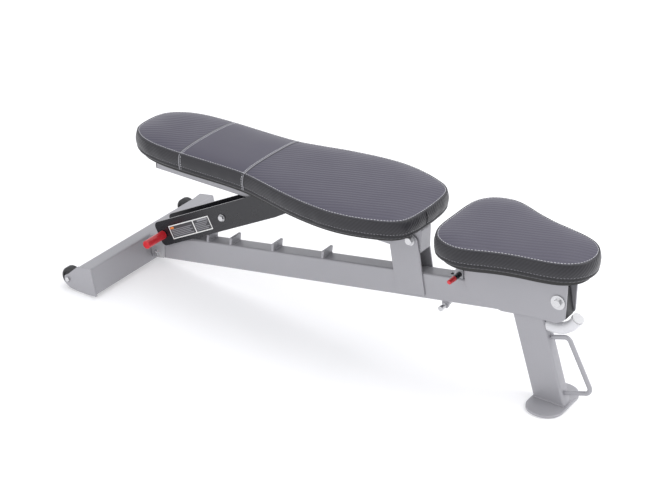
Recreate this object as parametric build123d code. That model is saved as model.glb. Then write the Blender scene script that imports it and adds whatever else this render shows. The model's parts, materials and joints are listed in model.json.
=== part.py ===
from build123d import *
from math import sin, cos, tan, radians, atan2, degrees, hypot
import os

# Adjustable flat-to-incline weight bench. Units are millimetres, +Z is up.
# +X runs along the bench towards the seat, and the two sides are mirror images across Y = 0.
# The floor is Z = 0. Side views below are drawn with x = 0 at the crossbar's front lower edge,
# and every part is moved by -CENTRE_X at the end, so X = 0 is the middle of the bench's length.

os.makedirs("parts", exist_ok=True)

# ---- driving dimensions -------------------------------------------------------------------
CENTRE_X = 620.55

BEAM_TILT = 10.3          # degrees the main beam rises towards the seat
BEAM_WIDTH = 46.0
BEAM_DEPTH = 72.0
BEAM_END = 1314.0         # length of the beam from the crossbar's front face
TUBE_WALL = 3.0

CROSS_WIDTH = 50.0        # front to rear
CROSS_DEPTH = 80.0
CROSS_HALF = 266.5        # half length of the tube, without its end plates
END_PLATE = 5.0
CROSS_LIFT = 12.0         # height of the crossbar's front lower edge
BEAM_STEP = 9.5           # the beam's underside sits this far above the crossbar's

WHEEL_X = -100.0
WHEEL_Z = 33.0
WHEEL_RADIUS = 30.0
WHEEL_WIDTH = 24.0
AXLE_RADIUS = 5.0
RUNNING_GAP = 0.05

POST_REAR = 834.0         # along the beam
POST_FRONT = 920.0
PIVOT_ALONG = 898.5       # backrest pivot, along the beam
PIVOT_UP = 162.6          # and above its underside
POST_PLATE = 4.0

RAIL_WIDTH = 44.0
RAIL_DEPTH = 72.0
RAIL_REAR = 27.0

BOARD = 10.0
BACK_PAD = 52.0
SEAT_PAD = 56.0
SEAT_BOARD = 12.0

STRUT_IN = 29.0           # inner face of each strut plate
STRUT_PLATE = 5.0
STRUT_SLOPE = 28.2        # degrees
STRUT_DEPTH = 72.0
ROD_RADIUS = 9.5

LEG_WIDTH = 35.0
LEG_DEPTH = 84.0
LEG_LEAN = 18.3           # degrees from upright, foot forwards
LEG_FOOT_REAR = 1220.0
FOOT_RUBBER = 3.0
FOOT_PLATE = 6.0

SEAT_PIVOT_X = 1276.0
SEAT_PIVOT_Z = 304.0
SEAT_PIN_X = 997.0
SEAT_PIN_Z = 288.0
SEAT_STEP = 4.0           # degrees between the seat's two positions, rear end going down
BRACKET_IN = 24.2
BRACKET_PLATE = 4.5

STOP_ALONG = (216.0, 297.0, 441.0, 607.0)

# ---- directions and places ----------------------------------------------------------------
tilt = radians(BEAM_TILT)
U = Vector(cos(tilt), 0, sin(tilt))
N = Vector(-sin(tilt), 0, cos(tilt))
Y = Vector(0, 1, 0)
cross_corner = Vector(0, 0, CROSS_LIFT)
beam_start = cross_corner + N * BEAM_STEP


def on_beam(along, up):
    return beam_start + U * along + N * up


back_pivot = on_beam(PIVOT_ALONG, PIVOT_UP)
rail_mid_z = back_pivot.Z
rail_top = rail_mid_z + RAIL_DEPTH / 2
back_base = rail_top + BOARD
seat_base = back_base + 1.0
slope = radians(STRUT_SLOPE)
E = Vector(cos(slope), 0, sin(slope))
M = Vector(-sin(slope), 0, cos(slope))
rod = on_beam(67.5, BEAM_DEPTH + ROD_RADIUS + 0.6)
strut_pivot = Vector(468.8, 0, rail_mid_z)


# ---- helpers ------------------------------------------------------------------------------
def side_plate(points, y_low, y_high):
    """A flat plate drawn in side view and given its thickness along Y."""
    corners = [Vector(p[0], y_low, p[1]) for p in points]
    face = make_face(Polyline(*corners, close=True))
    return extrude(face, amount=y_high - y_low, dir=(0, 1, 0))


def round_corners(shape, marks):
    """Round the edges along Y nearest to each (x, z, radius)."""
    for x, z, radius in marks:
        edges = shape.edges().filter_by(Axis.Y)
        edge = min(edges, key=lambda e: hypot(e.center().X - x, e.center().Z - z))
        shape = fillet(edge, radius)
    return shape


def cross_pin(x, z, y_low, y_high, radius):
    """A round bar along Y."""
    plane = Plane(origin=(x, y_low, z), x_dir=(1, 0, 0), z_dir=(0, 1, 0))
    return extrude(plane * Circle(radius), amount=y_high - y_low)


def hex_end(x, z, y_low, y_high, across):
    """A hexagon head or nut with its axis along Y, chamfered on its outer rim."""
    plane = Plane(origin=(x, y_low, z), x_dir=(1, 0, 0), z_dir=(0, 1, 0))
    nut = extrude(plane * RegularPolygon(across / 2, 6, major_radius=False), amount=y_high - y_low)
    return nut & cone_ended(x, z, y_low, y_high, across * 0.56)


def cone_ended(x, z, y_low, y_high, radius):
    bar = cross_pin(x, z, y_low, y_high, radius)
    return chamfer(bar.edges().filter_by(GeomType.CIRCLE), 1.0)


def ring(x, z, y_low, y_high, outer, inner):
    return cross_pin(x, z, y_low, y_high, outer) - cross_pin(x, z, y_low - 1, y_high + 1, inner)


def square_tube(start, axis, x_dir, wide, deep, length, corner=6.0, wall=TUBE_WALL):
    plane = Plane(origin=start, x_dir=x_dir, z_dir=axis)
    outer = extrude(plane * RectangleRounded(wide, deep, corner), amount=length)
    hollow = RectangleRounded(wide - 2 * wall, deep - 2 * wall, corner - wall + 0.5)
    inner = extrude(plane * hollow, amount=length)
    return outer - inner


def pad_outline(stations, inset=0.0):
    """A closed outline, the same on both sides, through (x, half width) stations from rear to front."""
    upper = [(x, w) for x, w in stations]
    lower = [(x, -w) for x, w in reversed(stations)]
    loop = upper + [p for p in lower if abs(p[1]) > 1e-6]
    middle = (stations[0][0] + stations[-1][0]) / 2
    long_half = (stations[-1][0] - stations[0][0]) / 2
    wide_half = max(w for x, w in stations)
    shrink_x = 1 - inset / long_half
    shrink_y = 1 - inset / wide_half
    spots = [Vector(middle + (x - middle) * shrink_x, w * shrink_y) for x, w in loop]
    return make_face(Spline(*spots, periodic=True))


def slab(face, z_low, z_high, top=0.0, bottom=0.0):
    body = extrude(Location((0, 0, z_low)) * face, amount=z_high - z_low)
    if top:
        body = fillet(body.faces().sort_by(Axis.Z)[-1].edges(), top)
    if bottom:
        body = fillet(body.faces().sort_by(Axis.Z)[0].edges(), bottom)
    return body


def bolt_through(x, z, y_half, radius, across, head=7.0, washer=0.0, washer_r=0.0):
    """A bolt along Y with a head and washer on -Y and a nut and washer on +Y."""
    body = cross_pin(x, z, -y_half - washer, y_half + washer, radius)
    if washer:
        body += cross_pin(x, z, -y_half - washer, -y_half, washer_r)
        body += cross_pin(x, z, y_half, y_half + washer, washer_r)
    body += hex_end(x, z, -y_half - washer - head, -y_half - washer, across)
    body += hex_end(x, z, y_half + washer, y_half + washer + head, across)
    return body


def both_sides(shape):
    return [shape, mirror(shape, about=Plane.XZ)]


nodes = {}


def keep(name, *solids):
    shape = solids[0] if len(solids) == 1 else Compound(children=list(solids))
    nodes[name] = shape


# ---- crossbar, its end plates, wheels and feet ---------------------------------------------
cross_centre = cross_corner - U * (CROSS_WIDTH / 2) + N * (CROSS_DEPTH / 2)
cross_start = cross_centre - Y * CROSS_HALF
crossbar = square_tube(cross_start, (0, 1, 0), U, CROSS_WIDTH, CROSS_DEPTH, 2 * CROSS_HALF)
keep("crossbar", crossbar)

top_rear = cross_corner - U * CROSS_WIDTH + N * CROSS_DEPTH
top_front = cross_corner + N * CROSS_DEPTH
plate_points = [
    (0, 9),
    (-30, 5.5),
    (-62, 5),
    (WHEEL_X + 4, 8),
    (WHEEL_X - 13, 20),
    (WHEEL_X - 13, WHEEL_Z + 7),
    (WHEEL_X, WHEEL_Z + 15),
    (top_rear.X, top_rear.Z),
    (top_front.X, top_front.Z),
]
end_plate = side_plate(plate_points, -CROSS_HALF - END_PLATE, -CROSS_HALF)
plate_rounds = [(WHEEL_X - 13, 20, 9), (WHEEL_X - 13, WHEEL_Z + 7, 7), (WHEEL_X, WHEEL_Z + 15, 8)]
plate_rounds += [(top_rear.X, top_rear.Z, 5), (top_front.X, top_front.Z, 5)]
end_plate = round_corners(end_plate, plate_rounds)
end_plate -= cross_pin(WHEEL_X, WHEEL_Z, -CROSS_HALF - 6, -CROSS_HALF + 1, AXLE_RADIUS + 0.02)
keep("end_plate_left", end_plate)
keep("end_plate_right", mirror(end_plate, about=Plane.XZ))

wheel_out = CROSS_HALF - 2.0
wheel_in = wheel_out - WHEEL_WIDTH
bolt = cross_pin(WHEEL_X, WHEEL_Z, -CROSS_HALF - END_PLATE, -wheel_in + 12, AXLE_RADIUS)
bolt += hex_end(WHEEL_X, WHEEL_Z, -CROSS_HALF - END_PLATE - 5, -CROSS_HALF - END_PLATE, 13)
bolt += hex_end(WHEEL_X, WHEEL_Z, -wheel_in + 2, -wheel_in + 10, 16)
keep("wheel_bolts", *both_sides(bolt))

wheel = cross_pin(WHEEL_X, WHEEL_Z, -wheel_out, -wheel_in, WHEEL_RADIUS)
wheel = fillet(wheel.edges().filter_by(GeomType.CIRCLE), 5)
wheel -= ring(WHEEL_X, WHEEL_Z, -wheel_out - 1, -wheel_out + 3, WHEEL_RADIUS - 8, 10)
wheel -= ring(WHEEL_X, WHEEL_Z, -wheel_in - 3, -wheel_in + 1, WHEEL_RADIUS - 8, 10)
wheel -= cross_pin(WHEEL_X, WHEEL_Z, -wheel_out - 1, -wheel_in + 1, AXLE_RADIUS + RUNNING_GAP)
keep("wheel_left", wheel)
keep("wheel_right", mirror(wheel, about=Plane.XZ))


def under_cross(x):
    return CROSS_LIFT + x * tan(tilt)


foot = side_plate([(-47, 0), (-22, 0), (-22, under_cross(-22)), (-47, under_cross(-47))], -250, -188)
keep("rubber_foot_left", foot)
keep("rubber_foot_right", mirror(foot, about=Plane.XZ))

# ---- main beam -----------------------------------------------------------------------------
beam = square_tube(
    on_beam(0, BEAM_DEPTH / 2), U, (0, 1, 0), BEAM_WIDTH, BEAM_DEPTH, BEAM_END
)
slot_top = Pos(1000, 0, 276) * Box(78, 12, 50)
slot_low = Pos(985, 0, 200) * Box(100, 12, 40)
beam = beam - slot_top - slot_low
beam -= cross_pin(SEAT_PIVOT_X, SEAT_PIVOT_Z, -30, 30, 6.02)
keep("main_beam", beam)

cap_plane = Plane(origin=on_beam(BEAM_END, BEAM_DEPTH / 2), x_dir=(0, 1, 0), z_dir=U)
cap = extrude(cap_plane * RectangleRounded(BEAM_WIDTH, BEAM_DEPTH, 6), amount=3)
keep("beam_end_cap", cap)

# ---- ladder stops: leaning plates with a small gusset in front -----------------------------
stops = []
for place in STOP_ALONG:
    foot_rear = on_beam(place - 6, BEAM_DEPTH)
    foot_front = on_beam(place + 1, BEAM_DEPTH)
    tip_front = on_beam(place + 7, BEAM_DEPTH + 20)
    tip_rear = on_beam(place, BEAM_DEPTH + 21)
    outline = [(p.X, p.Z) for p in (foot_rear, foot_front, tip_front, tip_rear)]
    stops.append(side_plate(outline, -21, 21))
keep("ladder_stops", *stops)

# ---- saddles that take the strut's rod when the bench is flat ------------------------------
saddle_marks = [(2, 3), (46, 3), (57, 50), (57, 93), (45, 93), (43, 58), (2, 43)]
saddle_outline = [(on_beam(s, t).X, on_beam(s, t).Z) for s, t in saddle_marks]
saddle = side_plate(saddle_outline, -BEAM_WIDTH / 2 - 4, -BEAM_WIDTH / 2)
p1 = on_beam(57, 93)
p2 = on_beam(45, 93)
p3 = on_beam(2, 43)
p4 = on_beam(46, 3)
saddle = round_corners(saddle, [(p1.X, p1.Z, 4), (p2.X, p2.Z, 4), (p3.X, p3.Z, 6), (p4.X, p4.Z, 6)])
keep("saddle_left", saddle)
keep("saddle_right", mirror(saddle, about=Plane.XZ))
sb = on_beam(20, 16)
saddle_bolt = cross_pin(sb.X, sb.Z, -BEAM_WIDTH / 2 - 6, -BEAM_WIDTH / 2 - 4, 11)
saddle_bolt += hex_end(sb.X, sb.Z, -BEAM_WIDTH / 2 - 12, -BEAM_WIDTH / 2 - 6, 16)
keep("saddle_bolts", *both_sides(saddle_bolt))

# ---- post that carries the backrest pivot --------------------------------------------------
post_marks = [
    (POST_REAR, 10), (POST_FRONT, 10), (POST_FRONT, PIVOT_UP + 4), (PIVOT_ALONG, PIVOT_UP + 23),
    (PIVOT_ALONG - 20, PIVOT_UP + 14), (POST_REAR, PIVOT_UP - 18),
]
y_out = BEAM_WIDTH / 2 + POST_PLATE
post = side_plate([(on_beam(s, t).X, on_beam(s, t).Z) for s, t in post_marks], -y_out, -BEAM_WIDTH / 2)
corner = on_beam(PIVOT_ALONG, PIVOT_UP + 23)
side = on_beam(POST_FRONT, PIVOT_UP + 4)
low = on_beam(POST_FRONT, 10)
heel = on_beam(POST_REAR, PIVOT_UP - 18)
post_corners = [(corner.X, corner.Z, 14), (side.X, side.Z, 14), (low.X, low.Z, 4), (heel.X, heel.Z, 8)]
post = round_corners(post, post_corners)
post -= cross_pin(back_pivot.X, back_pivot.Z, -40, 40, 6.02)
keep("post_plate_left", post)
keep("post_plate_right", mirror(post, about=Plane.XZ))
web_marks = [
    (POST_FRONT - 45, BEAM_DEPTH), (POST_FRONT - 40, BEAM_DEPTH),
    (POST_FRONT - 40, 104), (POST_FRONT - 45, 104),
]
web_outline = [(on_beam(s, t).X, on_beam(s, t).Z) for s, t in web_marks]
web = side_plate(web_outline, -BEAM_WIDTH / 2, BEAM_WIDTH / 2)
keep("post_web", web)
rear_marks = [
    (POST_REAR + 4, BEAM_DEPTH), (POST_REAR + 9, BEAM_DEPTH),
    (POST_REAR + 9, 108), (POST_REAR + 4, 108),
]
rear_outline = [(on_beam(s, t).X, on_beam(s, t).Z) for s, t in rear_marks]
rear_web = side_plate(rear_outline, -BEAM_WIDTH / 2, BEAM_WIDTH / 2)
keep("post_rear_web", rear_web)
pivot_bolt = bolt_through(back_pivot.X, back_pivot.Z, y_out, 6.0, 18, 8, 2.5, 14)
keep("back_pivot_bolt", pivot_bolt)

# ---- front leg, foot and handle ------------------------------------------------------------
lean = radians(LEG_LEAN)
L = Vector(-sin(lean), 0, cos(lean))
OUT = Vector(cos(lean), 0, sin(lean))
foot_top = FOOT_RUBBER + FOOT_PLATE
leg_mid = Vector(LEG_FOOT_REAR + LEG_DEPTH / 2 / cos(lean), 0, foot_top)
leg = square_tube(leg_mid - L * 60, L, (0, 1, 0), LEG_WIDTH, LEG_DEPTH, 420)
leg -= Pos(leg_mid.X, 0, foot_top - 150) * Box(600, 200, 300)
above_plane = Plane(origin=on_beam(1150, 0), x_dir=(0, 1, 0), z_dir=N)
leg -= extrude(above_plane * Rectangle(300, 900), amount=500)
keep("front_leg", leg)

foot_shape = Location((leg_mid.X + 2, 0, 0)) * RectangleRounded(98, 168, 46)
foot_plate = slab(foot_shape, FOOT_RUBBER, foot_top, top=1.5)
keep("foot_plate", foot_plate)
pad_shape = Location((leg_mid.X + 2, 0, 0)) * RectangleRounded(84, 150, 38)
keep("foot_rubber", slab(pad_shape, 0, FOOT_RUBBER))

front_face = leg_mid + OUT * (LEG_DEPTH / 2)


def by_leg(up, out):
    return front_face + L * up + OUT * out


HANDLE_RADIUS = 6.0
handle_line = FilletPolyline(
    by_leg(170, 0.0), by_leg(170, 49), by_leg(17, 77), by_leg(17, 0.0), radius=15
)
handle_plane = Plane(origin=by_leg(170, 0.0), z_dir=OUT)
handle = sweep(handle_plane * Circle(HANDLE_RADIUS), path=handle_line)
keep("lift_handle", handle)

# ---- capped stub for an accessory, bending up from the front of the leg --------------------
STUB_RADIUS = 15.0
stub_start = by_leg(208, -14)
stub_turn = radians(62)
stub_bend = 66.0
stub_a = Vector(stub_start.X + 30, 0, stub_start.Z)
stub_b = stub_a + Vector(stub_bend * sin(stub_turn), 0, stub_bend * (1 - cos(stub_turn)))
stub_c = stub_b + Vector(cos(stub_turn), 0, sin(stub_turn)) * 4
stub_line = Line(stub_start, stub_a) + TangentArc(stub_a, stub_b, tangent=(1, 0, 0)) + Line(stub_b, stub_c)
stub_plane = Plane(origin=stub_start, z_dir=(1, 0, 0))
stub = sweep(stub_plane * Circle(STUB_RADIUS), path=stub_line)
stub -= sweep(stub_plane * Circle(STUB_RADIUS - 3), path=stub_line)
leg_plane = Plane(origin=leg_mid - L * 60, x_dir=(0, 1, 0), z_dir=L)
leg_block = extrude(leg_plane * Rectangle(LEG_WIDTH, LEG_DEPTH), amount=420)
stub -= leg_block
keep("accessory_stub", stub)
cap_dir = Vector(cos(stub_turn), 0, sin(stub_turn))
ring_plane = Plane(origin=stub_c, x_dir=(0, 1, 0), z_dir=cap_dir)
stub_cap = extrude(ring_plane * Circle(STUB_RADIUS + 1.5), amount=3)
stub_cap += extrude(ring_plane.offset(3) * Circle(STUB_RADIUS - 1), amount=2)
stub_cap += extrude(ring_plane.offset(5) * Circle(STUB_RADIUS + 1), amount=3)
keep("stub_cap", stub_cap)

# ---- ear and sleeve for the seat's pull pin ------------------------------------------------
ear_low = on_beam(0, BEAM_DEPTH)


def beam_top_z(x):
    return ear_low.Z + (x - ear_low.X) * tan(tilt)


ear_points = [(980, beam_top_z(980)), (1008, beam_top_z(1008)), (1008, 304), (986, 304)]
ear = side_plate(ear_points, -22, -16)
ear = round_corners(ear, [(1008, 304, 8), (986, 304, 8)])
ear -= cross_pin(SEAT_PIN_X, SEAT_PIN_Z, -30, -10, 4 + RUNNING_GAP)
keep("pin_ear", ear)
keep("pin_sleeve", ring(SEAT_PIN_X, SEAT_PIN_Z, -46, -22, 7.0, 4 + RUNNING_GAP))

shaft = cross_pin(SEAT_PIN_X, SEAT_PIN_Z, -70, -4.5, 4)
shaft = chamfer(shaft.edges().filter_by(GeomType.CIRCLE).sort_by(Axis.Y)[-1], 1.2)
keep("pull_pin", shaft)
grip_plane = Plane(origin=(SEAT_PIN_X, -47, SEAT_PIN_Z), x_dir=(1, 0, 0), z_dir=(0, -1, 0))
grip = extrude(grip_plane * Circle(6.8), amount=27, taper=2)
grip = fillet(grip.edges().filter_by(GeomType.CIRCLE).sort_by(Axis.Y)[0], 3)
grip -= cross_pin(SEAT_PIN_X, SEAT_PIN_Z, -70, -40, 4)
keep("pull_pin_grip", grip)

seat_bolt = bolt_through(SEAT_PIVOT_X, SEAT_PIVOT_Z, BRACKET_IN + BRACKET_PLATE + 0.3, 6.0, 18, 7, 2.5, 19)
keep("seat_pivot_bolt", seat_bolt)

# ---- backrest ------------------------------------------------------------------------------
BACK_STATIONS = [
    (-17, 0), (-15, 30), (-8, 56), (6, 76), (22, 89), (44, 102), (74, 112), (107, 118), (150, 121),
    (200, 122), (400, 123), (470, 137), (550, 156), (640, 170), (712, 172), (775, 161), (830, 142),
    (864, 124), (884, 101), (893, 68), (896, 34), (897, 0),
]
back_outline = pad_outline(BACK_STATIONS)
keep("back_pad", slab(back_outline, back_base + 0.3, back_base + BACK_PAD, top=9, bottom=4))
back_board = slab(pad_outline(BACK_STATIONS, inset=14), rail_top, back_base)
keep("back_board", back_board)

rail_length = back_pivot.X - RAIL_REAR
rail = square_tube((RAIL_REAR, 0, rail_mid_z), (1, 0, 0), (0, 1, 0), RAIL_WIDTH, RAIL_DEPTH, rail_length)
nose = Pos(back_pivot.X + 15, 0, back_pivot.Z) * Box(30, RAIL_WIDTH, RAIL_DEPTH)
nose_corners = [(back_pivot.X + 30, back_pivot.Z - 36, 12), (back_pivot.X + 30, back_pivot.Z + 36, 6)]
nose = round_corners(nose, nose_corners)
rail += nose
rail -= cross_pin(back_pivot.X, back_pivot.Z, -30, 30, 6 + RUNNING_GAP)
rail -= cross_pin(strut_pivot.X, strut_pivot.Z, -30, 30, 6.02)
keep("back_rail", rail)
rail_cap_plane = Plane(origin=(RAIL_REAR, 0, rail_mid_z), x_dir=(0, 1, 0), z_dir=(-1, 0, 0))
rail_cap = extrude(rail_cap_plane * RectangleRounded(RAIL_WIDTH, RAIL_DEPTH, 6), amount=3)
keep("rail_end_cap", rail_cap)

ties = []
tie_bolts = []
for x, half in ((110, 88), (560, 105), (780, 105)):
    for way in (-1, 1):
        middle = way * (RAIL_WIDTH / 2 + half) / 2
        ties.append(Pos(x, middle, rail_top - 2) * Box(34, half - RAIL_WIDTH / 2, 4))
        head = Plane(origin=(x, way * (half - 16), rail_top - 9)) * RegularPolygon(7, 6, major_radius=False)
        tie_bolts.append(extrude(head, amount=5))
keep("back_ties", *ties)
keep("back_tie_bolts", *tie_bolts)
strut_bolt = bolt_through(strut_pivot.X, strut_pivot.Z, STRUT_IN + STRUT_PLATE + 0.3, 6.0, 18, 7, 2, 13)
keep("strut_pivot_bolt", strut_bolt)

# ---- strut: two plates that straddle the beam, their rod and grips -------------------------
strut_axis_offset = 78.8
low_end = 78.0
taper_start = 520.0


def on_strut(along, up):
    return E * along + M * (strut_axis_offset + up) + Vector(0, 0, strut_shift)


strut_shift = 1.2
half = STRUT_DEPTH / 2
END_ROUND = 32.0
reach = strut_pivot.X * cos(slope) + strut_pivot.Z * sin(slope) - strut_shift * sin(slope)
strut_marks = [
    (low_end, -half), (taper_start, -half), (reach, -END_ROUND), (reach, END_ROUND),
    (taper_start, half), (low_end, half),
]
strut_outline = [(on_strut(a, b).X, on_strut(a, b).Z) for a, b in strut_marks]
strut = side_plate(strut_outline, -STRUT_IN - STRUT_PLATE, -STRUT_IN)
strut = round_corners(
    strut,
    [
        (on_strut(low_end, -half).X, on_strut(low_end, -half).Z, 14),
        (on_strut(low_end, half).X, on_strut(low_end, half).Z, 14),
    ],
)
strut += cross_pin(strut_pivot.X, strut_pivot.Z, -STRUT_IN - STRUT_PLATE, -STRUT_IN, END_ROUND)
strut -= cross_pin(strut_pivot.X, strut_pivot.Z, -50, 50, 6 + RUNNING_GAP)
strut -= cross_pin(rod.X, rod.Z, -50, 50, ROD_RADIUS + 0.02)
brace = on_strut(336, 0)
strut -= cross_pin(brace.X, brace.Z, -50, 50, 5.02)
keep("strut_plate_left", strut)
keep("strut_plate_right", mirror(strut, about=Plane.XZ))
ROD_HALF = 108.0
keep("strut_rod", cross_pin(rod.X, rod.Z, -ROD_HALF, ROD_HALF, ROD_RADIUS))
red = cross_pin(rod.X, rod.Z, -ROD_HALF - 3, -STRUT_IN - STRUT_PLATE - 1, ROD_RADIUS + 2.5)
red = fillet(red.edges().filter_by(GeomType.CIRCLE), 2.0)
red -= cross_pin(rod.X, rod.Z, -ROD_HALF, 0, ROD_RADIUS)
keep("strut_grip_left", red)
keep("strut_grip_right", mirror(red, about=Plane.XZ))
spacer = ring(brace.X, brace.Z, -STRUT_IN, STRUT_IN, 9, 5.02)
keep("strut_spacer", spacer)
keep("strut_brace_bolt", bolt_through(brace.X, brace.Z, STRUT_IN + STRUT_PLATE, 5.0, 15, 6, 1.8, 10))

# ---- seat ----------------------------------------------------------------------------------
SEAT_STATIONS = [
    (961, 0), (961, 45), (964, 80), (973, 108), (991, 132), (1020, 148), (1055, 153), (1090, 144),
    (1125, 129), (1160, 116), (1195, 106), (1235, 98), (1275, 89), (1314, 73), (1338, 51),
    (1350, 27), (1354, 0),
]
keep("seat_pad", slab(pad_outline(SEAT_STATIONS), seat_base + 0.3, seat_base + SEAT_PAD, top=10, bottom=4))
keep("seat_board", slab(pad_outline(SEAT_STATIONS, inset=14), seat_base - SEAT_BOARD, seat_base))
flange_top = seat_base - SEAT_BOARD
keep("seat_bracket_top", Pos(1141.5, 0, flange_top - 2.5) * Box(311, 2 * (BRACKET_IN + BRACKET_PLATE), 5))


def beam_low_z(x):
    return beam_start.Z + (x - beam_start.X) * tan(tilt)


bracket_points = [
    (1013, flange_top - 5), (1014, 292), (1024, 256), (1044, 240), (1124, 228),
    (1212, beam_low_z(1212) - 1),
    (1243, 243), (1274, 244), (1297, 260), (1297, flange_top - 5),
]
bracket = side_plate(bracket_points, -BRACKET_IN - BRACKET_PLATE, -BRACKET_IN)
bracket_corners = [(1014, 292, 60), (1024, 256, 20), (1044, 240, 20), (1274, 244, 16), (1297, 260, 12)]
bracket = round_corners(bracket, bracket_corners)
bracket -= cross_pin(SEAT_PIVOT_X, SEAT_PIVOT_Z, -40, 40, 6 + RUNNING_GAP)
keep("seat_bracket_left", bracket)
keep("seat_bracket_right", mirror(bracket, about=Plane.XZ))

stop_x, stop_z = 948.0, 173.0
blade_points = [
    (986, flange_top - 5), (978, 290), (940, 208), (939, stop_z + 2), (943, stop_z - 8),
    (956, stop_z - 7), (963, 202),
    (1008, 262), (1012, 300), (1026, flange_top - 5),
]
blade = side_plate(blade_points, -4, 4)
blade = round_corners(blade, [(939, stop_z + 2, 4), (943, stop_z - 8, 4), (956, stop_z - 7, 5)])
pin_reach = hypot(SEAT_PIN_X - SEAT_PIVOT_X, SEAT_PIN_Z - SEAT_PIVOT_Z)
pin_angle = atan2(SEAT_PIVOT_Z - SEAT_PIN_Z, SEAT_PIVOT_X - SEAT_PIN_X)
for step in range(2):
    turn = pin_angle - radians(SEAT_STEP * step)
    hole_x = SEAT_PIVOT_X - pin_reach * cos(turn)
    hole_z = SEAT_PIVOT_Z - pin_reach * sin(turn)
    blade -= cross_pin(hole_x, hole_z, -6, 6, 5.4)
blade -= cross_pin(stop_x, stop_z, -6, 6, 5.02)
keep("seat_blade", blade)
stop_bolt = cross_pin(stop_x, stop_z, -26, 26, 5.0)
stop_bolt += cone_ended(stop_x, stop_z, -27, -15, 7.0)
stop_bolt += cone_ended(stop_x, stop_z, 15, 27, 7.0)
stop_bolt += cross_pin(stop_x, stop_z, -7, -4, 7.0)
stop_bolt += cross_pin(stop_x, stop_z, 4, 7, 7.0)
keep("seat_stop_bolt", stop_bolt)

# ---- write one file per part ---------------------------------------------------------------
shift = Location((-CENTRE_X, 0, 0))
low_corner = [1e9, 1e9, 1e9]
high_corner = [-1e9, -1e9, -1e9]
for name, shape in nodes.items():
    placed = shape.moved(shift)
    export_step(placed, "parts/" + name + ".step")
    box = placed.bounding_box()
    for i, (a, b) in enumerate(zip(tuple(box.min), tuple(box.max))):
        low_corner[i] = min(low_corner[i], a)
        high_corner[i] = max(high_corner[i], b)
print("parts", len(nodes))
print("box", [round(v, 2) for v in low_corner], [round(v, 2) for v in high_corner])
for label, spot in (
    ("back pivot", back_pivot), ("strut pivot", strut_pivot), ("rod", rod),
    ("seat pivot", Vector(SEAT_PIVOT_X, 0, SEAT_PIVOT_Z)), ("wheel", Vector(WHEEL_X, 0, WHEEL_Z)),
    ("pin", Vector(SEAT_PIN_X, 0, SEAT_PIN_Z)), ("back base", Vector(0, 0, back_base)),
    ("leg middle", leg_mid),
):
    print(label, round(spot.X - CENTRE_X, 3), round(spot.Z, 3))
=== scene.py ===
import bpy
import bmesh
import json
import math
import numpy as np
from mathutils import Matrix, Vector
from mathutils.bvhtree import BVHTree


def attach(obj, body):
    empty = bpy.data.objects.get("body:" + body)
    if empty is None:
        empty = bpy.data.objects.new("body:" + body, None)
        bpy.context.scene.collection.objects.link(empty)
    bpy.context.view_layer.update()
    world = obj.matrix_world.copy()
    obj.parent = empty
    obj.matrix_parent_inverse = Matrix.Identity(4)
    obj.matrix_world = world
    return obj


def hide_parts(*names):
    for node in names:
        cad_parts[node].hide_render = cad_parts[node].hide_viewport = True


# An adjustable weight bench. The steel is the CAD frame; this script adds the upholstery,
# stitching, welds, decal, materials, light and camera. Lengths are in metres.

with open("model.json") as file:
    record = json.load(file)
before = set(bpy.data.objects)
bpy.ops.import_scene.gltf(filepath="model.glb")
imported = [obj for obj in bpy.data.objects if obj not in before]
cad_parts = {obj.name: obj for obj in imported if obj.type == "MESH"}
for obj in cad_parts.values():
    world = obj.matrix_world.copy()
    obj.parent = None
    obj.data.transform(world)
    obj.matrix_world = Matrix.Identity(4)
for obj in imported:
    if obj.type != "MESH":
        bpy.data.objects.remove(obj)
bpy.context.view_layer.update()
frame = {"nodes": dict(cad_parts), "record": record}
nodes = frame["nodes"]
# places along the bench are measured from the crossbar; the frame's origin lies this much further on
SHIFT = 0.62055
rng = np.random.default_rng(7)


# ---- small helpers -------------------------------------------------------------------------
def mesh_object(name, verts, faces, smooth=True, material=None):
    mesh = bpy.data.meshes.new(name)
    mesh.from_pydata([tuple(v) for v in verts], [], [tuple(f) for f in faces])
    mesh.validate()
    mesh.update()
    obj = bpy.data.objects.new(name, mesh)
    bpy.context.scene.collection.objects.link(obj)
    if smooth:
        mesh.polygons.foreach_set("use_smooth", [True] * len(mesh.polygons))
    if material:
        mesh.materials.append(material)
    return obj


def frames_along(points, closed):
    """Tangent, side and up directions along a line, without sudden twists."""
    p = np.asarray(points, float)
    if closed:
        tan = np.roll(p, -1, 0) - np.roll(p, 1, 0)
    else:
        tan = np.gradient(p, axis=0)
    tan /= np.linalg.norm(tan, axis=1)[:, None] + 1e-12
    side = np.zeros_like(p)
    ref = np.array([0.0, 0.0, 1.0])
    if abs(tan[0] @ ref) > 0.9:
        ref = np.array([0.0, 1.0, 0.0])
    s = np.cross(tan[0], ref)
    for i in range(len(p)):
        s = s - tan[i] * (s @ tan[i])
        s /= np.linalg.norm(s) + 1e-12
        side[i] = s
    return p, tan, side, np.cross(tan, side)


def tube_data(points, radius, closed=False, sides=8):
    """Vertices and faces of a round tube along a line; the radius may vary."""
    p, tan, side, up = frames_along(points, closed)
    rad = np.broadcast_to(np.asarray(radius, float), (len(p),))
    verts = []
    for i in range(len(p)):
        for k in range(sides):
            a = 2 * math.pi * k / sides
            verts.append(p[i] + rad[i] * (math.cos(a) * side[i] + math.sin(a) * up[i]))
    faces = []
    n = len(p)
    for i in range(n if closed else n - 1):
        j = (i + 1) % n
        for k in range(sides):
            m = (k + 1) % sides
            faces.append((i * sides + k, i * sides + m, j * sides + m, j * sides + k))
    if not closed:
        faces.append(tuple(range(sides - 1, -1, -1)))
        faces.append(tuple((n - 1) * sides + k for k in range(sides)))
    return verts, faces


def tube(name, points, radius, closed=False, sides=8, material=None):
    v, f = tube_data(points, radius, closed, sides)
    return mesh_object(name, v, f, True, material)


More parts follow.
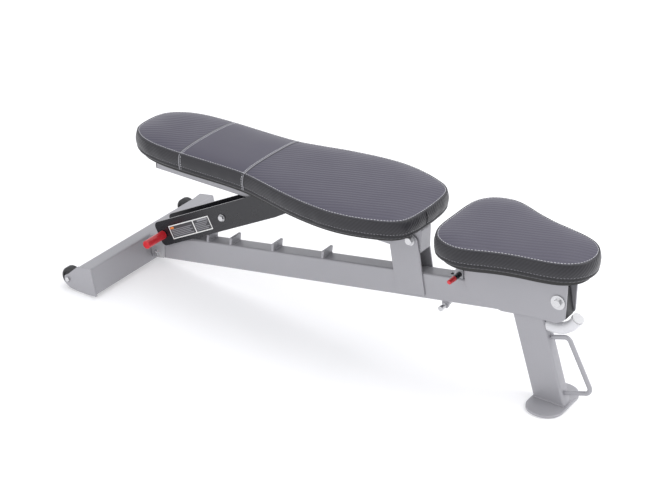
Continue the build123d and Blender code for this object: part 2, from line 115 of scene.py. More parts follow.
def joined(name, parts, material=None, smooth=True):
    """One object from several lists of vertices and faces."""
    verts, faces = [], []
    for v, f in parts:
        base = len(verts)
        verts.extend(v)
        faces.extend([tuple(i + base for i in face) for face in f])
    return mesh_object(name, verts, faces, smooth, material)


def resample(points, count, closed):
    """The same line with evenly spaced points, and its length."""
    p = np.asarray(points, float)
    q = np.vstack([p, p[:1]]) if closed else p
    step = np.linalg.norm(np.diff(q, axis=0), axis=1)
    run = np.concatenate([[0], np.cumsum(step)])
    want = np.linspace(0, run[-1], count + 1)[:-1] if closed else np.linspace(0, run[-1], count)
    return np.stack([np.interp(want, run, q[:, k]) for k in range(q.shape[1])], 1), run[-1]


def straight_up(spots):
    return np.array([0, 0, 1.0])


def stitches(name, line, closed, pitch, length, radius, material, lift=straight_up):
    """A row of thread stitches: short round-ended lengths that dip into the cover at both ends."""
    pts, total = resample(line, 2400, closed)
    count = max(2, int(total / pitch))
    ring = np.linspace(0, 1, 5)
    arch = np.array([-0.55, 0.35, 0.6, 0.35, -0.55]) * radius
    thick = np.array([0.55, 0.95, 1.0, 0.95, 0.55]) * radius
    parts = []
    stretch = len(pts) / total
    for c in range(count):
        at = (c + 0.5) * total / count + rng.normal(0, pitch * 0.02)
        seg = at + (ring - 0.5) * length
        idx = seg * stretch
        lo = np.floor(idx).astype(int)
        fr = (idx - lo)[:, None]
        if closed:
            a = pts[lo % len(pts)]
            b = pts[(lo + 1) % len(pts)]
        else:
            a = pts[np.clip(lo, 0, len(pts) - 1)]
            b = pts[np.clip(lo + 1, 0, len(pts) - 1)]
        spots = a * (1 - fr) + b * fr
        spots = spots + lift(spots) * arch[:, None]
        parts.append(tube_data(spots, thick, False, 6))
    return joined(name, parts, material)


# ---- materials -----------------------------------------------------------------------------
def new_material(name, colour, rough, metallic=0.0, coat=0.0, coat_rough=0.1, spec=0.5, sheen=0.0):
    mat = bpy.data.materials.new(name)
    mat.use_nodes = True
    bsdf = mat.node_tree.nodes["Principled BSDF"]
    bsdf.inputs["Base Color"].default_value = (*colour, 1)
    bsdf.inputs["Roughness"].default_value = rough
    bsdf.inputs["Metallic"].default_value = metallic
    bsdf.inputs["Coat Weight"].default_value = coat
    bsdf.inputs["Coat Roughness"].default_value = coat_rough
    bsdf.inputs["Specular IOR Level"].default_value = spec
    bsdf.inputs["Sheen Weight"].default_value = sheen
    return mat, mat.node_tree.nodes, mat.node_tree.links, bsdf


def add(nds, kind, **values):
    """A shader node with its inputs and settings."""
    node = nds.new(kind)
    for key, value in values.items():
        if key in node.inputs:
            node.inputs[key].default_value = value
        else:
            setattr(node, key, value)
    return node


def object_noise(nds, lks, **values):
    """Noise in the object's own coordinates, in metres."""
    coords = nds.new("ShaderNodeTexCoord")
    noise = add(nds, "ShaderNodeTexNoise", **values)
    lks.new(coords.outputs["Object"], noise.inputs["Vector"])
    return noise.outputs["Fac"]


def tint(nds, lks, source, bsdf, colour, amount, start, end):
    """Base colour that runs from darker to lighter by amount as the source runs from start to end."""
    node = nds.new("ShaderNodeValToRGB")
    low, high = node.color_ramp.elements
    low.position, low.color = start, (*(c * (1 - amount) for c in colour), 1)
    high.position, high.color = end, (*(min(1, c * (1 + amount)) for c in colour), 1)
    lks.new(source, node.inputs["Fac"])
    lks.new(node.outputs["Color"], bsdf.inputs["Base Color"])


def vary_gloss(nds, lks, source, bsdf, low, high):
    """Roughness that follows the source between two values."""
    node = add(nds, "ShaderNodeMapRange", **{"From Min": 0.3, "From Max": 0.7, "To Min": low, "To Max": high})
    lks.new(source, node.inputs["Value"])
    lks.new(node.outputs["Result"], bsdf.inputs["Roughness"])


def relief(nds, lks, height, strength, distance, below):
    """A bump on top of the normal below."""
    node = add(nds, "ShaderNodeBump", Strength=strength, Distance=distance)
    lks.new(height, node.inputs["Height"])
    if below:
        lks.new(below, node.inputs["Normal"])
    return node.outputs["Normal"]


def weighted_sum(nds, lks, first, weight, second):
    """first times weight, plus second."""
    node = add(nds, "ShaderNodeMath", operation="MULTIPLY_ADD")
    lks.new(first, node.inputs[0])
    node.inputs[1].default_value = weight
    lks.new(second, node.inputs[2])
    return node.outputs[0]


def soft_edges(nds, radius):
    return add(nds, "ShaderNodeBevel", samples=4, Radius=radius).outputs["Normal"]


def painted(name, colour, rough, metallic, flake=0.04, peel=0.0006, edge=0.0012, coat=0.15):
    """Powder coat: fine mottle in colour and gloss, a slight orange peel and softened edges."""
    mat, nds, lks, bsdf = new_material(name, colour, rough, metallic, coat, 0.25)
    speck = object_noise(nds, lks, Scale=900.0, Detail=2.0)
    cloud = object_noise(nds, lks, Scale=7.0, Detail=5.0, Roughness=0.6)
    half = add(nds, "ShaderNodeMath", operation="MULTIPLY")
    lks.new(cloud, half.inputs[0])
    half.inputs[1].default_value = 0.5
    mottle = weighted_sum(nds, lks, speck, 0.5, half.outputs[0])
    tint(nds, lks, mottle, bsdf, colour, flake, 0.35, 0.65)
    vary_gloss(nds, lks, cloud, bsdf, max(0.05, rough - 0.05), rough + 0.07)
    orange_peel = object_noise(nds, lks, Scale=420.0, Detail=2.0)
    lks.new(relief(nds, lks, orange_peel, 0.10, peel, soft_edges(nds, edge)), bsdf.inputs["Normal"])
    return mat


def metal(name, colour, rough):
    """Plated steel with uneven gloss and softened edges."""
    mat, nds, lks, bsdf = new_material(name, colour, rough, 1.0)
    cloud = object_noise(nds, lks, Scale=60.0, Detail=2.0)
    vary_gloss(nds, lks, cloud, bsdf, max(0.04, rough - 0.04), rough + 0.05)
    lks.new(soft_edges(nds, 0.0006), bsdf.inputs["Normal"])
    return mat


def plain(name, colour, rough, grain=0.0, coat=0.0, spec=0.5, edge=0.0008):
    """Rubber, plastic, thread or card: a fine grain and softened edges."""
    mat, nds, lks, bsdf = new_material(name, colour, rough, 0.0, coat, 0.15, spec)
    noise = object_noise(nds, lks, Scale=500.0, Detail=3.0)
    tint(nds, lks, noise, bsdf, colour, 0.1, 0.3, 0.7)
    lks.new(relief(nds, lks, noise, 0.2, grain, soft_edges(nds, edge)), bsdf.inputs["Normal"])
    return mat


def ribs_of(nds, lks, uv, ribs, turn):
    """A woven twill: fine ribs at an angle, crossed by faint finer ones."""
    wave = add(nds, "ShaderNodeTexWave", wave_type="BANDS", wave_profile="SIN",
               bands_direction="DIAGONAL" if turn is None else "X",
               Scale=ribs, Distortion=0.25, Detail=1.0)
    wave.inputs["Detail Scale"].default_value = 3.0
    turned = add(nds, "ShaderNodeMapping", Rotation=(0, 0, math.radians(turn or 0)))
    lks.new(uv, turned.inputs["Vector"])
    lks.new(turned.outputs["Vector"], wave.inputs["Vector"])
    tooth = add(nds, "ShaderNodeTexWave", wave_type="BANDS", wave_profile="SIN", bands_direction="X",
                Scale=ribs * 1.6, Distortion=0.1)
    lks.new(uv, tooth.inputs["Vector"])
    return weighted_sum(nds, lks, tooth.outputs["Fac"], 0.25, wave.outputs["Fac"])


def vinyl(name, colour, rough, ribs=0.0, depth=0.0, tone=0.0, turn=None):
    """Upholstery vinyl: a fine leather grain and, where ribs is over 0, a woven twill."""
    mat, nds, lks, bsdf = new_material(name, colour, rough, 0.0, 0.0, 0.2, 0.5, sheen=0.2)
    bsdf.inputs["Sheen Roughness"].default_value = 0.4
    uv = add(nds, "ShaderNodeUVMap", uv_map="cloth").outputs["UV"]
    grain = add(nds, "ShaderNodeTexVoronoi", Scale=900.0, feature="SMOOTH_F1")
    lks.new(uv, grain.inputs["Vector"])
    cloud = add(nds, "ShaderNodeTexNoise", Scale=9.0, Detail=4.0)
    lks.new(uv, cloud.inputs["Vector"])
    normal = relief(nds, lks, grain.outputs["Distance"], 0.18, 0.0003, None)
    if ribs > 0:
        weave = ribs_of(nds, lks, uv, ribs, turn)
        tint(nds, lks, weave, bsdf, colour, tone, 0.25, 0.95)
        normal = relief(nds, lks, weave, 0.55, depth, normal)
    else:
        tint(nds, lks, cloud.outputs["Fac"], bsdf, colour, 0.06, 0.35, 0.65)
    lks.new(normal, bsdf.inputs["Normal"])
    vary_gloss(nds, lks, cloud.outputs["Fac"], bsdf, rough - 0.05, rough + 0.06)
    return mat


M_SILVER = painted("silver paint", (0.350, 0.347, 0.368), 0.42, 0.25)
M_BLACK = painted("black paint", (0.010, 0.010, 0.013), 0.26, 0.0, 0.10, 0.0004, 0.001, 0.15)
M_WHITE = painted("white paint", (0.66, 0.66, 0.68), 0.25, 0.0, 0.02)
M_ZINC = metal("zinc plate", (0.60, 0.60, 0.61), 0.26)
M_SADDLE = metal("dull zinc", (0.62, 0.62, 0.63), 0.48)
M_RUBBER = plain("rubber", (0.02, 0.02, 0.02), 0.75, 0.0004)
M_WHEEL = plain("wheel rubber", (0.025, 0.025, 0.027), 0.55, 0.0003)
M_PLASTIC = plain("black plastic", (0.02, 0.02, 0.022), 0.45, 0.0002)
M_CAP = plain("white plastic", (0.68, 0.68, 0.69), 0.3, 0.0001)
M_RED = plain("red grip", (0.62, 0.018, 0.028), 0.32, 0.0001, 0.25)
M_BOARD = plain("board", (0.03, 0.03, 0.03), 0.8, 0.0004)
M_TOP = vinyl("vinyl ribbed top", (0.047, 0.043, 0.069), 0.42, 26.0, 0.0006, 0.11, -112.0)
M_SMOOTH = vinyl("vinyl smooth", (0.047, 0.043, 0.068), 0.40)
# the sides' finer ribs are their own, but their colour, about four times darker than the top's, is painted
# shade for the pads' sides
M_SHADED_SIDE = vinyl("vinyl ribbed side painted shade", (0.0115, 0.0110, 0.0150), 0.44, 62.0, 0.0008, 0.30)
M_SHADED_SIDE_SMOOTH = vinyl("vinyl smooth side painted shade", (0.0120, 0.0115, 0.0155), 0.44)
M_THREAD = plain("grey thread", (0.62, 0.62, 0.65), 0.7)
M_WELT = plain("grey welt", (0.26, 0.26, 0.28), 0.5)
M_EDGE = plain("charcoal welt", (0.030, 0.029, 0.036), 0.45)
M_PIPING = plain("dark piping", (0.012, 0.012, 0.014), 0.45)
M_LABEL = plain("label white", (0.78, 0.78, 0.77), 0.4)
M_LABEL_DARK = plain("label dark", (0.05, 0.05, 0.055), 0.4)
M_LABEL_MARK = plain("label mark", (0.75, 0.22, 0.05), 0.4)

SLOT_MATERIAL = {
    "silver_paint": M_SILVER, "black_paint": M_BLACK, "zinc": M_ZINC, "black_rubber": M_RUBBER,
    "wheel_rubber": M_WHEEL, "black_plastic": M_PLASTIC, "white_paint": M_WHITE, "white_plastic": M_CAP,
    "red_grip": M_RED, "charcoal_vinyl": M_SHADED_SIDE, "board": M_BOARD,
}
for part in frame["record"]["subparts"]:
    obj = nodes[part["node"]]
    mat = SLOT_MATERIAL[part["material_slot"]]
    if len(obj.material_slots) == 0:
        obj.data.materials.append(mat)
    for s in obj.material_slots:
        s.material = mat
# the saddles are the same plate with a duller finish
for name in ("saddle_left", "saddle_right"):
    for s in nodes[name].material_slots:
        s.material = M_SADDLE


# ---- pads ----------------------------------------------------------------------------------
# outlines in plan: (distance along the bench from the crossbar, half width) in millimetres
BACK = [
    (-17, 0), (-15, 30), (-8, 56), (6, 76), (22, 89), (44, 102), (74, 112), (107, 118), (150, 121),
    (200, 122), (400, 123), (470, 137), (550, 156), (640, 170), (712, 172), (775, 161), (830, 142),
    (864, 124), (884, 101), (893, 68), (896, 34), (897, 0),
]
SEAT = [
    (961, 0), (961, 45), (964, 80), (973, 108), (991, 132), (1020, 148), (1055, 153), (1090, 144),
    (1125, 129), (1160, 116), (1195, 106), (1235, 98), (1275, 89), (1314, 73), (1338, 51),
    (1350, 27), (1354, 0),
]
# heights of the underside and of the sewn top edge
BACK_BASE, BACK_TOP = 0.3884, 0.4362
SEAT_BASE, SEAT_TOP = 0.3894, 0.4372
BACK_CROWN, SEAT_CROWN = 0.0090, 0.0100
BACK_COUNT, SEAT_COUNT = 640, 480          # points round each outline
BAND_REAR, BAND_FRONT = 0.191 - SHIFT, 0.403 - SHIFT

TOP_INSETS = (0.0066, 0.0085, 0.0115, 0.0155, 0.0205, 0.026)
TOP_SHARES = (0.08, 0.17, 0.27, 0.38, 0.5, 0.63, 0.77, 0.9, 1.0)
SPINE_END = 0.075          # the pad's centre line stops this far from its ends
CROWN_START = 0.005        # the top is flat up to here from its edge
CROWN_RUN = 0.032          # and then rises over about this distance

WELT_RADIUS, WELT_INSET, WELT_DROP = 0.0015, 0.0034, 0.0006
PIPING_RADIUS, PIPING_INSET, PIPING_HEIGHT = 0.0021, 0.0018, 0.0080
TOP_ROW_INSET, LOW_ROW_HEIGHT = 0.0072, 0.0138
TOP_STITCH = {"pitch": 0.0080, "length": 0.0052, "radius": 0.0008, "material": M_THREAD}
LOW_STITCH = {"pitch": 0.0080, "length": 0.0048, "radius": 0.0006, "material": M_WELT}
BAND_STITCH = {"pitch": 0.0068, "length": 0.0050, "radius": 0.0007, "material": M_THREAD}


def smooth_loop(stations, count):
    """A closed curve through the stations and their mirror images, evenly spaced."""
    far = list(stations)
    near = [(x, -w) for x, w in reversed(stations) if w > 0]
    p = np.array(far + near, float) / 1000.0
    p[:, 0] -= SHIFT
    n = len(p)
    out = []
    for i in range(n):
        # one span of a centripetal Catmull-Rom curve, from p1 to p2
        p0, p1, p2, p3 = p[i - 1], p[i], p[(i + 1) % n], p[(i + 2) % n]
        t0 = 0.0
        t1 = t0 + np.linalg.norm(p1 - p0) ** 0.5
        t2 = t1 + np.linalg.norm(p2 - p1) ** 0.5
        t3 = t2 + np.linalg.norm(p3 - p2) ** 0.5
        for t in np.linspace(t1, t2, 24, endpoint=False):
            a1 = (t1 - t) / (t1 - t0) * p0 + (t - t0) / (t1 - t0) * p1
            a2 = (t2 - t) / (t2 - t1) * p1 + (t - t1) / (t2 - t1) * p2
            a3 = (t3 - t) / (t3 - t2) * p2 + (t - t2) / (t3 - t2) * p3
            b1 = (t2 - t) / (t2 - t0) * a1 + (t - t0) / (t2 - t0) * a2
            b2 = (t3 - t) / (t3 - t1) * a2 + (t - t1) / (t3 - t1) * a3
            out.append((t2 - t) / (t2 - t1) * b1 + (t - t1) / (t2 - t1) * b2)
    loop, _ = resample(out, count, True)
    for _ in range(3):
        loop = 0.5 * loop + 0.25 * (np.roll(loop, 1, 0) + np.roll(loop, -1, 0))
    mirror = loop[(-np.arange(count)) % count] * np.array([1, -1])
    return 0.5 * (loop + mirror)


def outward(loop):
    """Unit normals of a plan outline, pointing away from its middle."""
    t = np.roll(loop, -1, 0) - np.roll(loop, 1, 0)
    t /= np.linalg.norm(t, axis=1)[:, None]
    n = np.stack([-t[:, 1], t[:, 0]], 1)
    if np.mean(np.sum(n * (loop - loop.mean(0)), 1)) < 0:
        n = -n
    return n


def at_height(plan, height):
    return np.column_stack([plan, np.broadcast_to(height, len(plan))])


def side_profile(high):
    """(inset, height) up the side: lower lip, groove for the piping, bulging band and sewn edge."""
    lip = [
        (0.0045, 0.0), (0.0022, 0.0008), (0.0008, 0.0030), (0.0002, 0.0060),
        (0.0013, 0.0072), (0.0016, 0.0080), (0.0006, 0.0092),
    ]
    bulging = [
        (0.0010 * k - 0.0026 * math.sin(math.pi * k), 0.0104 + (high - 0.0145) * k)
        for k in np.linspace(0.08, 1, 12)
    ]
    edge = [(0.0022, high - 0.0018), (0.0040, high - 0.0002), (0.0052, high + 0.0002)]
    return lip + bulging + edge


def unevenness(count):
    """A slow waviness round a pad, between -1 and 1."""
    wave = sum(
        rng.normal(0, 1) * np.sin(2 * math.pi * (k * np.arange(count) / count) + rng.uniform(0, 6.28)) / k
        for k in range(5, 60, 3)
    )
    return wave / (np.abs(wave).max() + 1e-9)


def crowned(ring, loop, top_edge, crown):
    """A ring of the top, rising from the sewn edge and levelling out, with a very slight swell."""
    gap = ring[:, None, :] - loop[None, :, :]
    dist = np.sqrt((gap ** 2).sum(2)).min(1)
    rise = crown * (1 - np.exp(-np.maximum(dist - CROWN_START, 0) / CROWN_RUN))
    swell = 0.0004 * np.sin(ring[:, 0] * 41 + ring[:, 1] * 17) * np.minimum(1, dist / 0.05)
    return at_height(ring, top_edge + (rise + swell))


def pad_rings(loop, nrm, base, top_edge, crown):
    """Rings from the middle of the underside, up the side and in to the top's centre line.

    Also returns the index of the first ring that belongs to the top.
    """
    high = top_edge - base
    wobble = unevenness(len(loop))[:, None]
    inner = loop - nrm * TOP_INSETS[-1]
    spine_x = np.clip(inner[:, 0], loop[:, 0].min() + SPINE_END, loop[:, 0].max() - SPINE_END)
    centre = np.column_stack([spine_x, np.zeros(len(loop))])
    under = [centre, inner * 0.6 + centre * 0.4, inner * 0.5 + loop * 0.5]
    rings = [at_height(plan, base) for plan in under]
    for inset, z in side_profile(high):
        fullness = math.sin(math.pi * min(1, max(0, z / high)))
        rings.append(at_height(loop - nrm * (inset - 0.0007 * wobble * fullness), base + z))
    first_top = len(rings)
    top = [loop - nrm * inset for inset in TOP_INSETS]
    top += [inner * (1 - share) + centre * share for share in TOP_SHARES]
    rings += [crowned(plan, loop, top_edge, crown) for plan in top]
    return rings, first_top


def lay_cloth(mesh, rings, first_top, loop):
    """Texture coordinates in metres: round and up on the side, the plan view on the top."""
    count = len(loop)
    steps = np.linalg.norm(np.diff(np.vstack([loop, loop[:1]]), axis=0), axis=1)
    run = np.concatenate([[0], np.cumsum(steps)])
    uv = mesh.uv_layers.new(name="cloth")
    for poly in mesh.polygons:
        r, i = divmod(poly.index, count)
        corners = ((r, 0), (r, 1), (r + 1, 1), (r + 1, 0))
        for corner, (ring, step) in zip(poly.loop_indices, corners):
            x, y, z = rings[ring][(i + step) % count]
            uv.data[corner].uv = (x, y) if r >= first_top else (run[i + step], z)


def cushion(name, stations, base, top_edge, crown, count, plain_zone=None):
    """A firm pad: a flat underside, a slightly bulging side band, a sewn top edge and a crowned top."""
    loop = smooth_loop(stations, count)
    nrm = outward(loop)
    rings, first_top = pad_rings(loop, nrm, base, top_edge, crown)
    verts = [tuple(v) for ring in rings for v in ring]
    faces = []
    for r in range(len(rings) - 1):
        for i in range(count):
            j = (i + 1) % count
            faces.append((r * count + i, r * count + j, (r + 1) * count + j, (r + 1) * count + i))
    mesh = bpy.data.meshes.new(name)
    mesh.from_pydata(verts, [], faces)
    lay_cloth(mesh, rings, first_top, loop)
    for material in (M_TOP, M_SHADED_SIDE, M_SMOOTH, M_SHADED_SIDE_SMOOTH):
        mesh.materials.append(material)
    # side faces get the darker copies of the vinyl, which carry painted shade
    for poly in mesh.polygons:
        on_side = poly.index // count < first_top
        in_zone = plain_zone is not None and plain_zone[0] < poly.center.x < plain_zone[1]
        poly.material_index = (1 if on_side else 0) + (2 if in_zone else 0)
        poly.use_smooth = True
    work = bmesh.new()
    work.from_mesh(mesh)
    bmesh.ops.remove_doubles(work, verts=work.verts, dist=0.00002)
    bmesh.ops.recalc_face_normals(work, faces=work.faces)
    work.to_mesh(mesh)
    work.free()
    obj = bpy.data.objects.new(name, mesh)
    bpy.context.scene.collection.objects.link(obj)
    return obj, loop, nrm


def cover_of(pad):
    return BVHTree.FromObject(pad, bpy.context.evaluated_depsgraph_get())


def height_on(cover, x, y, top_edge):
    """Height of a pad's cover above the floor at a point of its top."""
    return cover.ray_cast(Vector((x, y, top_edge + 0.1)), Vector((0, 0, -1)))[0].z


def finish_pad(pad, loop, nrm, base, top_edge, body, title):
    """Welt and stitches round the top edge, dark piping and stitches round the lower edge."""
    edge = at_height(loop - nrm * WELT_INSET, top_edge - WELT_DROP)
    welt = tube(title + "_welt", edge, WELT_RADIUS, True, 6, M_EDGE)

    sewn = loop - nrm * TOP_ROW_INSET
    cover = cover_of(pad)
    heights = np.array([height_on(cover, x, y, top_edge) for x, y in sewn])
    top_row = stitches(title + "_top_stitch", at_height(sewn, heights + 0.0002), True, **TOP_STITCH)

    groove = at_height(loop - nrm * PIPING_INSET, base + PIPING_HEIGHT)
    piping = tube(title + "_lower_piping", groove, PIPING_RADIUS, True, 6, M_PIPING)

    low = loop + nrm * 0.0002

    def away(spots):
        nearest = ((spots[:, None, :2] - low[None, :, :]) ** 2).sum(2).argmin(1)
        return at_height(nrm[nearest], 0.0)

    low_line = at_height(low + nrm * 0.0005, base + LOW_ROW_HEIGHT)
    low_row = stitches(title + "_low_stitch", low_line, True, lift=away, **LOW_STITCH)
    for trim in (welt, top_row, piping, low_row):
        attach(trim, body)


back, back_loop, back_nrm = cushion(
    "back_cushion", BACK, BACK_BASE, BACK_TOP, BACK_CROWN, BACK_COUNT, (BAND_REAR, BAND_FRONT))
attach(back, "backrest")
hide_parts("back_pad")
finish_pad(back, back_loop, back_nrm, BACK_BASE, BACK_TOP, "backrest", "back")

seat, seat_loop, seat_nrm = cushion("seat_cushion", SEAT, SEAT_BASE, SEAT_TOP, SEAT_CROWN, SEAT_COUNT)
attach(seat, "seat")
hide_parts("seat_pad")
finish_pad(seat, seat_loop, seat_nrm, SEAT_BASE, SEAT_TOP, "seat", "seat")


# ---- seams across the back pad -------------------------------------------------------------
def across(cover, x, base, top_edge, lift):
    """Where a plane across a pad meets its cover, from the near lower edge over to the far one."""
    near = []
    for z in np.linspace(base + 0.003, top_edge - 0.004, 14):
        side_y = cover.ray_cast(Vector((x, -0.5, z)), Vector((0, 1, 0)))[0].y
        near.append((x, side_y - lift, z))
    edge_y = near[-1][1]
    over = [
        (x, y, height_on(cover, x, y, top_edge) + lift)
        for y in np.linspace(edge_y + 0.004, -edge_y - 0.004, 70)
    ]
    far = [(x, -y, z) for x, y, z in reversed(near)]
    return np.array(near + over + far)


back_cover = cover_of(back)
for label, x, way in (("rear", BAND_REAR, -1), ("front", BAND_FRONT, 1)):
    # way points out of the smooth band: the groove lies outside the welt, the stitches inside it. The groove
    # is a thin dark cord, painted shade for the crease
    ridge = resample(across(back_cover, x, BACK_BASE, BACK_TOP, 0.0002), 150, False)[0]
    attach(tube(f"band_{label}_welt", ridge, WELT_RADIUS, False, 8, M_WELT), "backrest")
    # a dark cord sunk into the cover: painted shade where the seam creases
    dark = resample(across(back_cover, x + way * 0.0030, BACK_BASE, BACK_TOP, -0.0004), 150, False)[0]
    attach(tube(f"band_{label}_groove", dark, 0.0011, False, 6, M_PIPING), "backrest")
    sewn = across(back_cover, x - way * 0.0050, BACK_BASE, BACK_TOP, 0.0001)
    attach(stitches(f"band_{label}_stitch", sewn, False, **BAND_STITCH), "backrest")

# closing seam down the front of the back pad, a little to the near side
SEAM_Y = -0.022
seam = []
for z in np.linspace(BACK_BASE + 0.011, BACK_TOP - 0.001, 12):
    front_x = back_cover.ray_cast(Vector((0.5, SEAM_Y, z)), Vector((-1, 0, 0)))[0].x
    seam.append((front_x + 0.0002, SEAM_Y, z))
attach(tube("back_closing_seam", seam, 0.0016, False, 8, M_PIPING), "backrest")


# ---- decal on the near strut plate: a plain plate of panels, no lettering ------------------
STRUT_SLOPE = math.radians(28.2)
STRUT_OFFSET = 78.8        # from the bench's starting point to the strut's centre line, square to it, in mm
STRUT_LIFT = 1.2           # and that point's height, in mm
STRUT_FACE = -0.034
SHEET, PRINT, INK = 0.00025, 0.00012, 0.0001


def on_strut(along, up):
    """A point by its place along the strut at rest and its height over the centre line, in mm."""
    across_mm = STRUT_OFFSET + up
    return Vector((
        (along * math.cos(STRUT_SLOPE) - across_mm * math.sin(STRUT_SLOPE)) / 1000 - SHIFT,
        0,
        (along * math.sin(STRUT_SLOPE) + across_mm * math.cos(STRUT_SLOPE) + STRUT_LIFT) / 1000,
    ))


def panel(a0, a1, b0, b1, y, thick):
    """A thin raised rectangle on the strut's near face, from a0 to a1 along and b0 to b1 up."""
    corners = [on_strut(a0, b0), on_strut(a1, b0), on_strut(a1, b1), on_strut(a0, b1)]
    verts = [(c.x, y, c.z) for c in corners] + [(c.x, y - thick, c.z) for c in corners]
    faces = [(0, 1, 2, 3), (7, 6, 5, 4), (0, 4, 5, 1), (1, 5, 6, 2), (2, 6, 7, 3), (3, 7, 4, 0)]
    return verts, faces


sheet = [panel(127, 288, -24, 16, STRUT_FACE, SHEET)]
fields = [panel(a0, a1, -21, 13, STRUT_FACE - SHEET, PRINT) for a0, a1 in ((130, 222), (226, 285))]
ink_face = STRUT_FACE - SHEET - PRINT
bars = []
for k in range(5):
    top = 3.5 - k * 4.6
    bars.append(panel(134, 216 - (k % 2) * 9, top - 2.2, top, ink_face, INK))
    bars.append(panel(229, 281 - (k % 3) * 6, top - 2.2, top, ink_face, INK))
bars.append(panel(241, 281, 6.5, 11.5, ink_face, INK))
mark = [panel(132, 146, 5.5, 11.5, ink_face, INK)]
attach(joined("decal_white", sheet, M_LABEL, False), "strut")
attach(joined("decal_dark", fields, M_LABEL_DARK, False), "strut")
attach(joined("decal_bars", bars, M_WELT, False), "strut")
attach(joined("decal_mark", mark, M_LABEL_MARK, False), "strut")


# ---- weld beads where the tubes meet -------------------------------------------------------
BEAM_TILT = math.radians(10.3)
BEAM_UP = np.array([-math.sin(BEAM_TILT), 0, math.cos(BEAM_TILT)])
BEAM_HALF = 0.023          # half the beam's width
BEAM_LIFT = 9.5            # its lower face over the point it is measured from, square to it, in mm
BEAM_LOW = 12              # and that point's height, in mm
POST_Y = BEAM_HALF + 0.0002
STOPS = (216.0, 297.0, 441.0, 607.0)      # the ladder's stops along the beam, in mm
LEAN = math.radians(18.3)
LEG_UP = np.array([-math.sin(LEAN), 0, math.cos(LEAN)])
LEG_OUT = np.array([math.cos(LEAN), 0, math.sin(LEAN)])
LEG_FOOT = np.array([(1220 + 42 / math.cos(LEAN)) / 1000 - SHIFT, 0, 0.009])
LEG_HALF_DEPTH = 0.040
FOOT_WELD_HALF, FOOT_WELD_Z = 0.043, 0.0098


def on_beam(along, up, y=0.0):
    """A point by its place along the beam and its height over the lower face, in mm; y in metres."""
    x = -math.sin(BEAM_TILT) * BEAM_LIFT + along * math.cos(BEAM_TILT) - up * math.sin(BEAM_TILT)
    z = BEAM_LOW + math.cos(BEAM_TILT) * BEAM_LIFT + along * math.sin(BEAM_TILT) + up * math.cos(BEAM_TILT)
    return np.array([x / 1000 - SHIFT, y, z / 1000])


def bead(a, b, radius=0.0024, pitch=0.0032):
    """A straight weld from a to b with the ripples of its passes."""
    length = np.linalg.norm(b - a)
    count = max(8, int(length / pitch * 4))
    t = np.linspace(0, 1, count)
    pts = a[None] + (b - a)[None] * t[:, None]
    ripple = radius * (1 + 0.13 * np.sin(t * length / pitch * 2 * math.pi) + 0.05 * rng.normal(0, 1, count))
    ripple[0] = ripple[-1] = radius * 0.5
    return tube_data(pts, ripple, False, 8)


beads = []
for side in (-1, 1):
    # the beam to the crossbar, then the post plate's rear edge and lower edge
    y = side * BEAM_HALF
    beads.append(bead(on_beam(0.5, 5, y), on_beam(0.5, 66, y)))
    y = side * POST_Y
    beads.append(bead(on_beam(834, 12, y), on_beam(834, 66, y), 0.0022))
    beads.append(bead(on_beam(836, 10, y), on_beam(916, 10, y), 0.0022))
for place in STOPS:
    beads.append(bead(on_beam(place + 1.6, 72.4, -0.020), on_beam(place + 1.6, 72.4, 0.020), 0.0018))
for side in (-1, 1):
    # along each side of the leg's top, just under the beam
    ends = []
    for off in (-LEG_HALF_DEPTH, LEG_HALF_DEPTH):
        low = LEG_FOOT + LEG_OUT * off
        reach = ((on_beam(0, -0.6) - low) @ BEAM_UP) / (LEG_UP @ BEAM_UP)
        ends.append(low + LEG_UP * reach + np.array([0, side * 0.0172, 0]))
    beads.append(bead(*ends, 0.0026))
    # and along each side of its lower end, on the foot plate
    foot = [
        np.array([LEG_FOOT[0] + off, side * 0.0175, FOOT_WELD_Z])
        for off in (-FOOT_WELD_HALF, FOOT_WELD_HALF)
    ]
    beads.append(bead(*foot))
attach(joined("weld_beads", beads, M_SILVER), "frame")


# ---- floor, light and camera ---------------------------------------------------------------
FLOOR_HALF = 15
floor_mat, _, _, floor_shader = new_material("floor", (0.72, 0.72, 0.735), 0.9, spec=0.1)
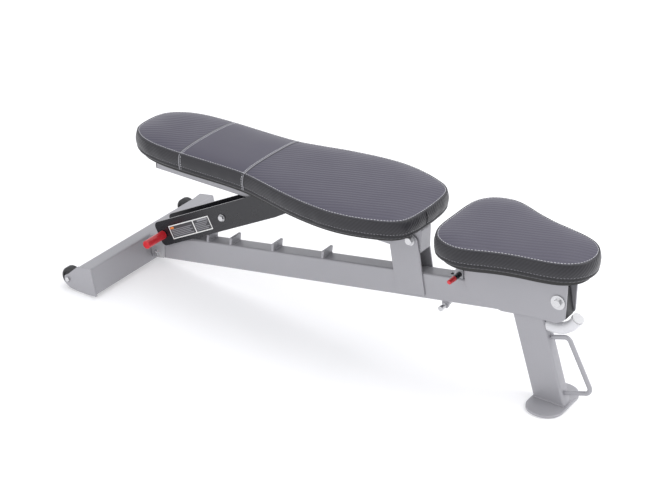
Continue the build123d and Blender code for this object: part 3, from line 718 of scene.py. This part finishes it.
# a little glow keeps the shadows pale
floor_shader.inputs["Emission Color"].default_value = (1.0, 1.0, 1.0, 1)
floor_shader.inputs["Emission Strength"].default_value = 0.34
floor_corners = [(x * FLOOR_HALF, y * FLOOR_HALF, 0) for x, y in ((-1, -1), (1, -1), (1, 1), (-1, 1))]
floor = mesh_object("floor", floor_corners, [(0, 1, 2, 3)], False, floor_mat)

world = bpy.data.worlds.new("studio")
bpy.context.scene.world = world
world.use_nodes = True
sky = world.node_tree.nodes["Background"]
sky.inputs["Color"].default_value = (0.97, 0.975, 1.0, 1)
sky.inputs["Strength"].default_value = 0.92


def area(name, place, size, power):
    """A rectangular light facing the bench."""
    data = bpy.data.lights.new(name, "AREA")
    data.shape = "RECTANGLE"
    data.size, data.size_y = size
    data.energy = power
    obj = bpy.data.objects.new(name, data)
    bpy.context.scene.collection.objects.link(obj)
    obj.location = place
    obj.rotation_mode = "QUATERNION"
    obj.rotation_quaternion = (Vector((0, 0, 0.3)) - Vector(place)).to_track_quat("-Z", "Y")


area("overhead", (0.5, 1.1, 3.4), (3.4, 2.6), 38)
area("key", (2.4, 0.6, 2.4), (1.6, 1.6), 31)
area("fill", (-0.8, -3.4, 1.9), (2.6, 1.8), 24)

# the camera's direction from the bench, as an azimuth and an elevation, and its slight roll
AZ, EL, ROLL = 0.60083, 0.50227, 0.0044
cam_data = bpy.data.cameras.new("camera")
cam_data.sensor_width = 36.0
cam_data.lens = 94.89
cam_data.clip_start, cam_data.clip_end = 0.1, 100
cam = bpy.data.objects.new("camera", cam_data)
bpy.context.scene.collection.objects.link(cam)
bpy.context.scene.camera = cam
away_dir = Vector((math.sin(AZ) * math.cos(EL), -math.cos(AZ) * math.cos(EL), math.sin(EL)))
level = Vector((math.cos(AZ), math.sin(AZ), 0))
upright = away_dir.cross(level)
cam_x = level * math.cos(ROLL) + upright * math.sin(ROLL)
cam_y = -level * math.sin(ROLL) + upright * math.cos(ROLL)
cam.rotation_mode = "QUATERNION"
cam.rotation_quaternion = Matrix((cam_x, cam_y, away_dir)).transposed().to_quaternion()
cam.location = (2.88748 - SHIFT, -3.33479, 2.44308)

view = bpy.context.scene.view_settings
view.view_transform = "Standard"
view.look = "None"
view.exposure = 0.0
